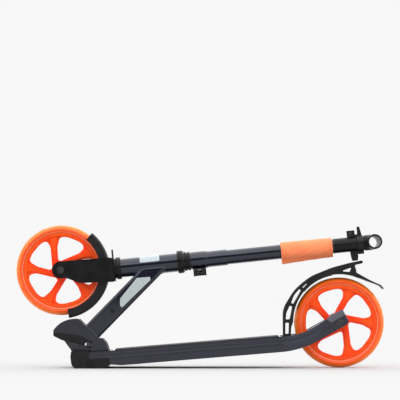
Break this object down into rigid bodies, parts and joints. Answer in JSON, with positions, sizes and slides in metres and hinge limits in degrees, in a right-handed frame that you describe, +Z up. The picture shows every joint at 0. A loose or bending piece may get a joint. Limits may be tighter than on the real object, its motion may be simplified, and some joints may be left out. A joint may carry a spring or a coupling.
{
  "type": "kick scooter",
  "caption": "Folding kick scooter, folded: column laid back over the deck, cast wheels, rear foot brake, fold lock, height clamp and padded carry sleeve.",
  "frame": {"origin": "on the ground under the middle of the folded scooter's bounding box", "axes": "+Z up; the scooter rides towards -X; +Y is across, away from the lock lever's side"},
  "size_m": [0.717, 0.124, 0.2767],
  "materials": {
    "frame_paint": "gloss dark navy lacquer over aluminium",
    "grip": "fine gritty anti-slip sheet",
    "black_plastic": "moulded, satin",
    "grey_plastic": "moulded, satin",
    "black_metal": "satin black coating",
    "dark_bolt": "black oxide",
    "bright_steel": "ground",
    "bush_plastic": "plain bearing plastic",
    "wheel_core": "cast, bright orange red",
    "tyre": "poured translucent orange",
    "brake_lining": "plain",
    "silver_trim": "satin silver film",
    "pale_trim": "satin pale film",
    "sleeve_fabric": "stitched padded cloth"
  },
  "bodies": {
    "deck": {"deck_rail_left": "frame_paint", "deck_rail_right": "frame_paint", "deck_plate": "frame_paint", "grip_tape": "grip", "front_foot": "black_plastic", "hinge_cheek_left": "frame_paint", "hinge_cheek_right": "frame_paint", "hinge_base": "frame_paint", "hinge_screws": "dark_bolt", "fold_pivot_bolt": "dark_bolt", "fold_pivot_nut": "dark_bolt", "arm_caps": "grey_plastic", "rear_axle_bolt": "dark_bolt", "rear_axle_spacers": "bright_steel", "brake_pin": "dark_bolt", "brake_spring": "bright_steel"},
    "rear_wheel": {"rear_rim": "wheel_core", "rear_tyre": "tyre", "rear_bearings": "bright_steel", "rear_bearing_sleeve": "bright_steel"},
    "brake": {"mudguard": "black_plastic", "brake_pad": "brake_lining"},
    "lock_carriage": {"lock_skewer": "bright_steel"},
    "lock_lever": {"lock_lever": "black_plastic", "lock_cam_pin": "bright_steel"},
    "neck": {"pivot_knuckle": "frame_paint", "knuckle_bushes": "bush_plastic", "down_tube": "frame_paint", "tube_plug": "black_plastic", "trim_plates": "silver_trim", "head_tube": "frame_paint", "head_badge": "pale_trim", "headset_cup_lower": "black_metal", "headset_cup_upper": "black_metal", "headset_bearings": "bright_steel"},
    "steering": {"fork": "black_metal", "steerer_tube": "frame_paint", "crown_race": "black_metal", "headset_locknut": "black_metal", "fender_bracket": "black_metal", "front_fender": "black_plastic", "fender_screws": "dark_bolt", "front_axle_bolt": "dark_bolt", "front_axle_spacers": "bright_steel", "clamp_collar": "frame_paint", "clamp_bolt": "dark_bolt"},
    "front_wheel": {"front_rim": "wheel_core", "front_tyre": "tyre", "front_bearings": "bright_steel", "front_bearing_sleeve": "bright_steel"},
    "clamp_lever": {"quick_release_lever": "black_plastic", "quick_release_pin": "bright_steel"},
    "handlebar": {"upper_tube": "frame_paint", "t_stem": "black_metal", "bar_socket": "black_metal", "carry_sleeve": "sleeve_fabric", "stem_clip": "black_plastic", "clip_screw": "dark_bolt", "stem_hook": "black_plastic"}
  },
  "joints": [
    {"name": "rear_wheel_spin", "type": "hinge", "parent": "deck", "child": "rear_wheel", "pos_m": [0.2711, 0, 0.0875], "axis": [0, 1, 0], "continuous": true},
    {"name": "brake_press", "type": "hinge", "parent": "deck", "child": "brake", "pos_m": [0.1654, 0, 0.0432], "axis": [0, 1, 0], "range_deg": [0, 1.2], "stiffness_Nm_per_rad": 4, "springref_deg": -5.73},
    {"name": "fold", "type": "hinge", "parent": "deck", "child": "neck", "pos_m": [-0.2422, 0, 0.0424], "axis": [0, -1, 0], "range_deg": [0, 82.5]},
    {"name": "lock_slide", "type": "slide", "parent": "deck", "child": "lock_carriage", "axis": [-0.9945, 0, -0.1045], "range_m": [0, 0.0076]},
    {"name": "lock_lever_swing", "type": "hinge", "parent": "lock_carriage", "child": "lock_lever", "pos_m": [-0.21475, -0.033, 0.04528], "axis": [0.2756, 0, 0.9613], "range_deg": [0, 100]},
    {"name": "steering", "type": "hinge", "parent": "neck", "child": "steering", "pos_m": [0, 0, 0.20924], "axis": [0.9947, 0, 0.1024], "range_deg": [-90, 90]},
    {"name": "front_wheel_spin", "type": "hinge", "parent": "steering", "child": "front_wheel", "pos_m": [-0.27087, 0, 0.18918], "axis": [0, 1, 0], "continuous": true},
    {"name": "clamp_lever_swing", "type": "hinge", "parent": "steering", "child": "clamp_lever", "pos_m": [-0.00054, -0.0135, 0.18908], "axis": [-0.9947, 0, -0.1024], "range_deg": [0, 110]},
    {"name": "height_slide", "type": "slide", "parent": "steering", "child": "handlebar", "axis": [0.9947, 0, 0.1024], "range_m": [0, 0.15]}
  ]
}
